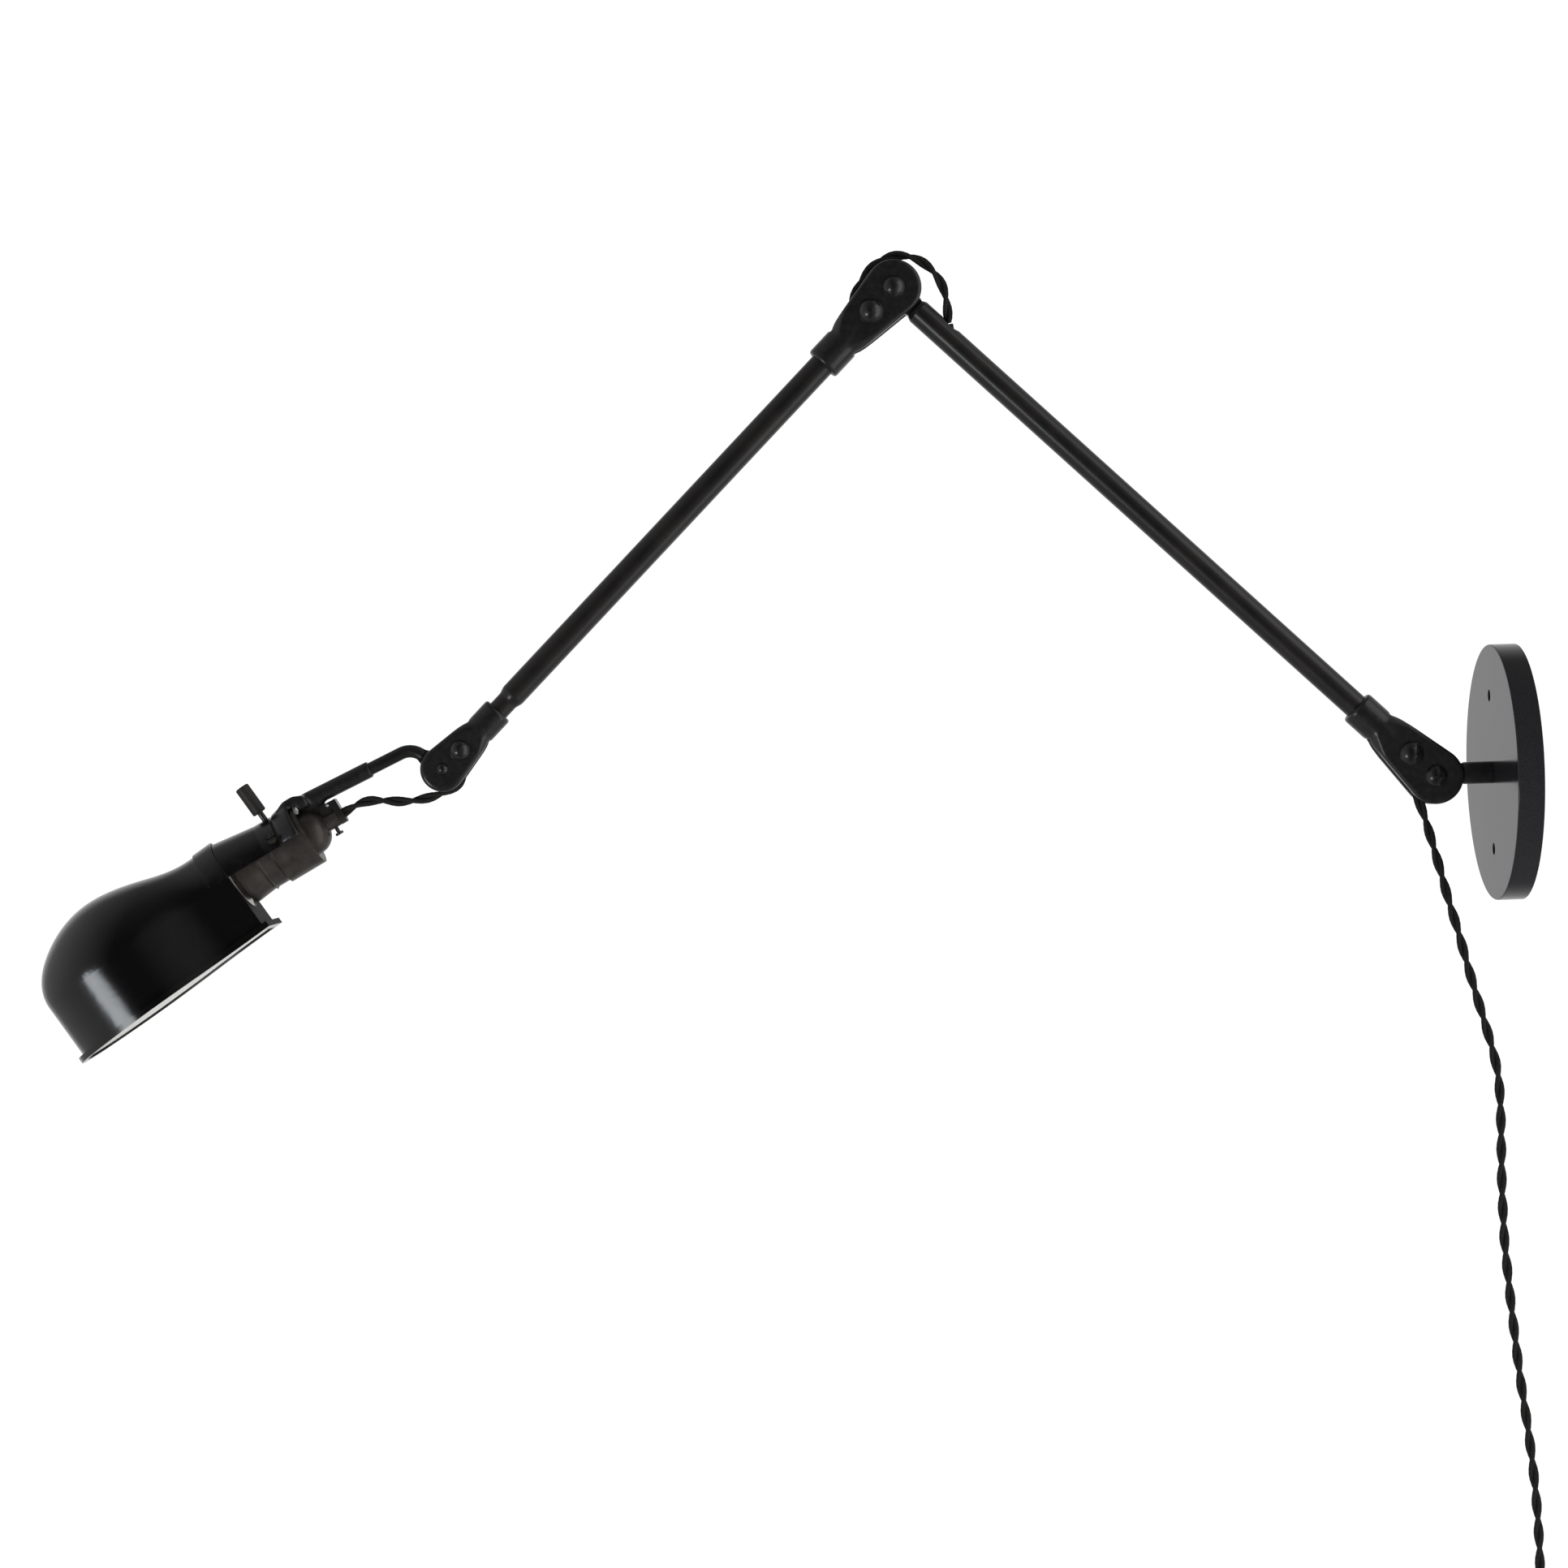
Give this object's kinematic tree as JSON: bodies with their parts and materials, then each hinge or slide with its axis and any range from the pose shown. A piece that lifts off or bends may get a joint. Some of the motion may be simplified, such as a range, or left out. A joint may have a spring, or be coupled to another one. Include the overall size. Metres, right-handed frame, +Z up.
{
  "type": "articulating wall lamp",
  "caption": "Articulating wall lamp: round wall plate, two friction-jointed tube arms, turn-key socket and a scoop-shaped hood shade on a swivel wrist, with a cloth cord.",
  "frame": {"origin": "centre of the wall plate's back face, on the wall", "axes": "+X into the wall, the arms reach out along -X, +Z up, +Y to the far side of the pictured view"},
  "size_m": [0.7354, 0.1324, 0.7993],
  "materials": {
    "plate_enamel": "satin black enamel",
    "arm_enamel": "gloss black enamel",
    "shade_enamel": "gloss black enamel outside, white inside",
    "bolt_steel": "gloss black",
    "inner_steel": "plain",
    "socket_brass": "darkened, worn satin",
    "bright_brass": "bright",
    "liner_fibre": "matte fibre",
    "porcelain": "glazed white",
    "bulb_glass": "frosted",
    "cord_cloth": "black woven cloth over twisted wires",
    "plug_black": "black bakelite",
    "screw_steel": "worn"
  },
  "bodies": {
    "wall_mount": {"wall_plate": "plate_enamel", "wall_stem": "arm_enamel", "stem_washer": "inner_steel", "stem_nut": "inner_steel", "hanging_cord": "cord_cloth", "cord_coil": "cord_cloth", "coil_tie": "plug_black", "plug_lead": "cord_cloth", "plug_body": "plug_black", "plug_blades": "bright_brass"},
    "rear_arm": {"shoulder_knuckle": "arm_enamel", "shoulder_pivot_bolt": "bolt_steel", "shoulder_pivot_nut": "bolt_steel", "shoulder_tension_screw": "bolt_steel", "shoulder_tension_nut": "bolt_steel", "shoulder_washers": "inner_steel", "rear_tube": "arm_enamel", "elbow_tongue": "arm_enamel", "rear_arm_cord": "cord_cloth", "elbow_cord": "cord_cloth"},
    "front_arm": {"elbow_knuckle": "arm_enamel", "elbow_pivot_bolt": "bolt_steel", "elbow_pivot_nut": "bolt_steel", "elbow_tension_screw": "bolt_steel", "elbow_tension_nut": "bolt_steel", "elbow_washers": "inner_steel", "front_tube": "arm_enamel", "arm_end_neck": "arm_enamel", "front_arm_cord": "cord_cloth"},
    "wrist_fork": {"wrist_knuckle": "arm_enamel", "wrist_pivot_bolt": "bolt_steel", "wrist_pivot_nut": "bolt_steel", "wrist_tension_screw": "bolt_steel", "wrist_tension_nut": "bolt_steel", "wrist_washers": "inner_steel", "swivel_stop_screw": "screw_steel", "wrist_cord": "cord_cloth"},
    "head": {"head_rod": "arm_enamel", "head_yoke": "arm_enamel", "carrier_screws": "screw_steel", "socket_hanger": "arm_enamel", "socket_cap": "socket_brass", "neck_set_screw": "screw_steel", "socket_shell": "socket_brass", "shell_liner": "liner_fibre", "socket_interior": "porcelain", "screw_shell": "bright_brass", "centre_contact": "bright_brass", "terminal_screws": "bright_brass", "shade_carrier": "arm_enamel", "shade": "shade_enamel", "bulb_base": "bright_brass", "bulb_glass": "bulb_glass"},
    "key": {"key_stem": "screw_steel", "key_grip": "socket_brass"}
  },
  "joints": [
    {"name": "shoulder", "type": "hinge", "parent": "wall_mount", "child": "rear_arm", "pos_m": [-0.0417, 0, -0.001], "axis": [0, 1, 0], "range_deg": [-60, 45], "deforming": ["hanging_cord"]},
    {"name": "elbow", "type": "hinge", "parent": "rear_arm", "child": "front_arm", "pos_m": [-0.30227, 0, 0.24923], "axis": [0, 1, 0], "range_deg": [-15, 88], "deforming": ["elbow_cord"]},
    {"name": "arm_end_swivel", "type": "hinge", "parent": "front_arm", "child": "wrist_fork", "pos_m": [-0.50958, 0, 0.04126], "axis": [-0.706, 0, -0.7082], "range_deg": [-90, 90]},
    {"name": "wrist", "type": "hinge", "parent": "wrist_fork", "child": "head", "pos_m": [-0.53288, 0, 0.01789], "axis": [0, -1, 0], "range_deg": [-25, 90], "deforming": ["wrist_cord"]},
    {"name": "key_turn", "type": "hinge", "parent": "head", "child": "key", "pos_m": [-0.61473, 0, -0.01577], "axis": [-0.5606, 0, 0.8281], "continuous": true}
  ]
}
